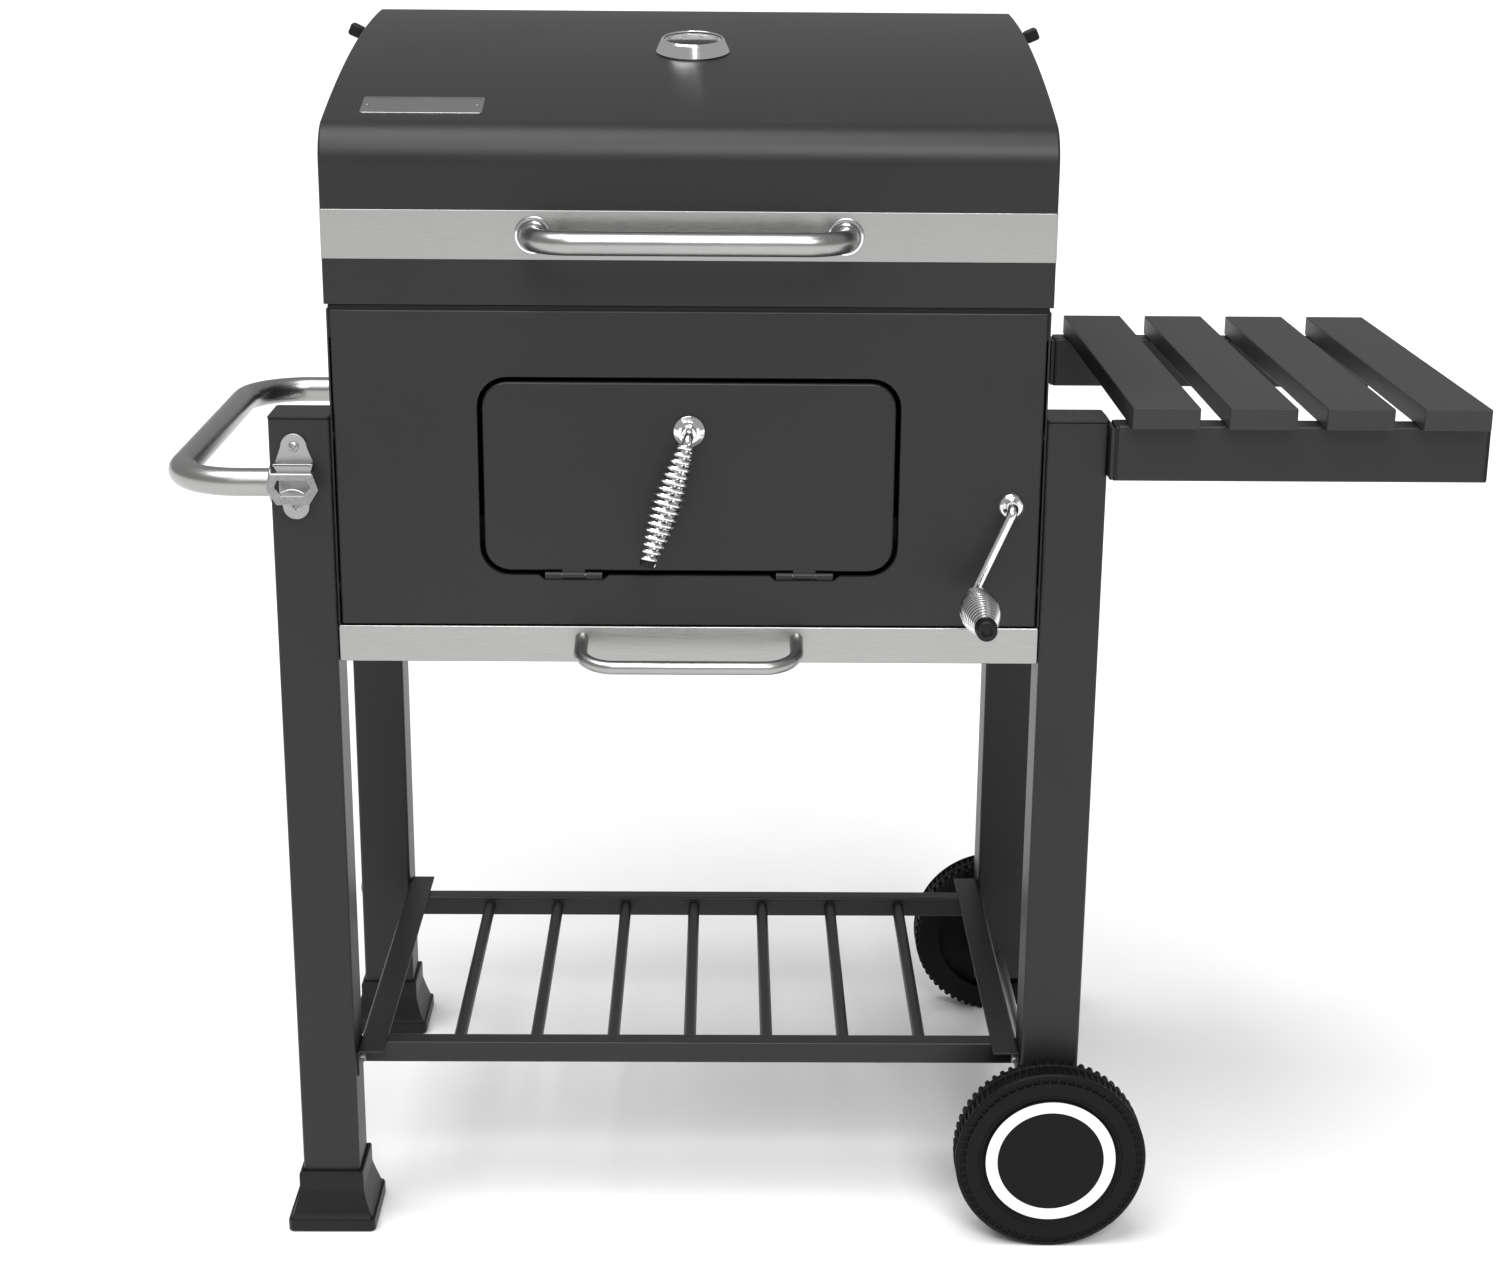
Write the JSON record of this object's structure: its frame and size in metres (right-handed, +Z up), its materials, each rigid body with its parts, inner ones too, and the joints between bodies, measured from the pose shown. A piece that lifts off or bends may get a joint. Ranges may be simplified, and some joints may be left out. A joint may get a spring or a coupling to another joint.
{
  "type": "charcoal trolley grill",
  "caption": "Charcoal grill on a wheeled cart: hinged lid, front charcoal door, crank-lifted charcoal tray, ash drawer, slatted side shelf and bottom shelf.",
  "frame": {"origin": "on the floor, under the middle of the whole object's bounding box", "axes": "+X from the side handle towards the side shelf, +Y from the front to the back, +Z up"},
  "size_m": [1.158, 0.6456, 1.0994],
  "materials": {
    "charcoal_paint": "fine-textured matt powder coat",
    "slat_paint": "fibre board with a matt coat",
    "black_plastic": "matt moulded",
    "wheel_plastic": "matt moulded with ribbed tread",
    "brushed_stainless": "brushed",
    "chrome": "polished",
    "zinc_steel": "zinc plated",
    "tray_enamel": "black enamel",
    "dial_white": "matt print",
    "needle_red": "matt",
    "clear_glass": "clear"
  },
  "bodies": {
    "cart": {"left_legs": "charcoal_paint", "right_legs": "charcoal_paint", "leg_caps": "black_plastic", "left_feet": "black_plastic", "front_panel": "charcoal_paint", "back_panel": "charcoal_paint", "side_panels": "charcoal_paint", "firebox_rim": "tray_enamel", "cooking_grates": "chrome", "warming_rack": "chrome", "warming_rack_legs": "chrome", "drawer_runners": "charcoal_paint", "lift_guides": "zinc_steel", "crank_bushings": "chrome", "door_hinge_brackets": "charcoal_paint", "lid_hinge_brackets": "zinc_steel", "hinge_pins": "zinc_steel", "side_handle": "brushed_stainless", "bottle_opener": "zinc_steel", "cart_bolts": "zinc_steel", "shelf_brackets": "charcoal_paint", "shelf_rails": "charcoal_paint", "shelf_rail_caps": "black_plastic", "shelf_slats": "slat_paint", "low_shelf_sides": "charcoal_paint", "low_shelf_rails": "charcoal_paint", "low_shelf_bars": "charcoal_paint", "axle": "zinc_steel", "axle_nuts": "zinc_steel"},
    "lid": {"lid_shell": "charcoal_paint", "lid_sides": "charcoal_paint", "lid_band": "brushed_stainless", "lid_handle": "brushed_stainless", "lid_handle_rings": "chrome", "lid_hinge_leaves": "zinc_steel", "lid_rivets": "zinc_steel", "name_plate": "brushed_stainless", "thermometer_case": "chrome", "thermometer_dial": "dial_white", "thermometer_glass": "clear_glass"},
    "needle": {"thermometer_needle": "needle_red"},
    "vent_left": {"left_vent": "charcoal_paint", "left_vent_knob": "black_plastic"},
    "vent_right": {"right_vent": "charcoal_paint", "right_vent_knob": "black_plastic"},
    "door": {"door_panel": "charcoal_paint", "door_ring": "chrome"},
    "door_handle": {"door_handle_rod": "chrome", "door_grip": "chrome", "door_latch": "zinc_steel"},
    "crank": {"crank_rod": "chrome", "crank_grip": "chrome", "lift_pinions": "zinc_steel"},
    "tray": {"charcoal_tray": "tray_enamel", "charcoal_grate": "tray_enamel", "lift_racks": "zinc_steel"},
    "drawer": {"ash_drawer": "brushed_stainless", "drawer_handle": "brushed_stainless"},
    "wheel_front": {"front_wheel": "wheel_plastic"},
    "wheel_rear": {"rear_wheel": "wheel_plastic"}
  },
  "joints": [
    {"name": "lid_hinge", "type": "hinge", "parent": "cart", "child": "lid", "pos_m": [-0.111, 0.27225, 0.8765], "axis": [-1, 0, 0], "range_deg": [0, 95]},
    {"name": "needle_turn", "type": "hinge", "parent": "lid", "child": "needle", "pos_m": [-0.111, 0.03149, 1.07934], "axis": [0, -0.1728, 0.985], "range_deg": [-150, 150], "stiffness_Nm_per_rad": 0.0005},
    {"name": "left_vent_turn", "type": "hinge", "parent": "lid", "child": "vent_left", "pos_m": [-0.4223, 0.154, 1.04811], "axis": [1, 0, 0], "range_deg": [0, 60]},
    {"name": "right_vent_turn", "type": "hinge", "parent": "lid", "child": "vent_right", "pos_m": [0.2003, 0.154, 1.04811], "axis": [1, 0, 0], "range_deg": [0, 60]},
    {"name": "door_hinge", "type": "hinge", "parent": "cart", "child": "door", "pos_m": [-0.111, -0.185, 0.64], "axis": [1, 0, 0], "range_deg": [0, 90]},
    {"name": "door_handle_turn", "type": "hinge", "parent": "door", "child": "door_handle", "pos_m": [-0.111, -0.21575, 0.77], "axis": [0, 1, 0], "range_deg": [0, 75]},
    {"name": "tray_lift", "type": "slide", "parent": "cart", "child": "tray", "axis": [0, 0, 1], "range_m": [0, 0.09]},
    {"name": "crank_turn", "type": "hinge", "parent": "cart", "child": "crank", "pos_m": [0.1708, -0.20375, 0.7045], "axis": [0, 1, 0], "range_deg": [0, 344]},
    {"name": "drawer_slide", "type": "slide", "parent": "cart", "child": "drawer", "axis": [0, -1, 0], "range_m": [0, 0.3]},
    {"name": "front_wheel_spin", "type": "hinge", "parent": "cart", "child": "wheel_front", "pos_m": [0.226, -0.21075, 0.0887], "axis": [0, 1, 0], "continuous": true},
    {"name": "rear_wheel_spin", "type": "hinge", "parent": "cart", "child": "wheel_rear", "pos_m": [0.226, 0.30425, 0.0887], "axis": [0, 1, 0], "continuous": true}
  ],
  "couplings": [
    {"joint": "crank_turn", "follows": "tray_lift", "rad_per_m": 66.667}
  ]
}
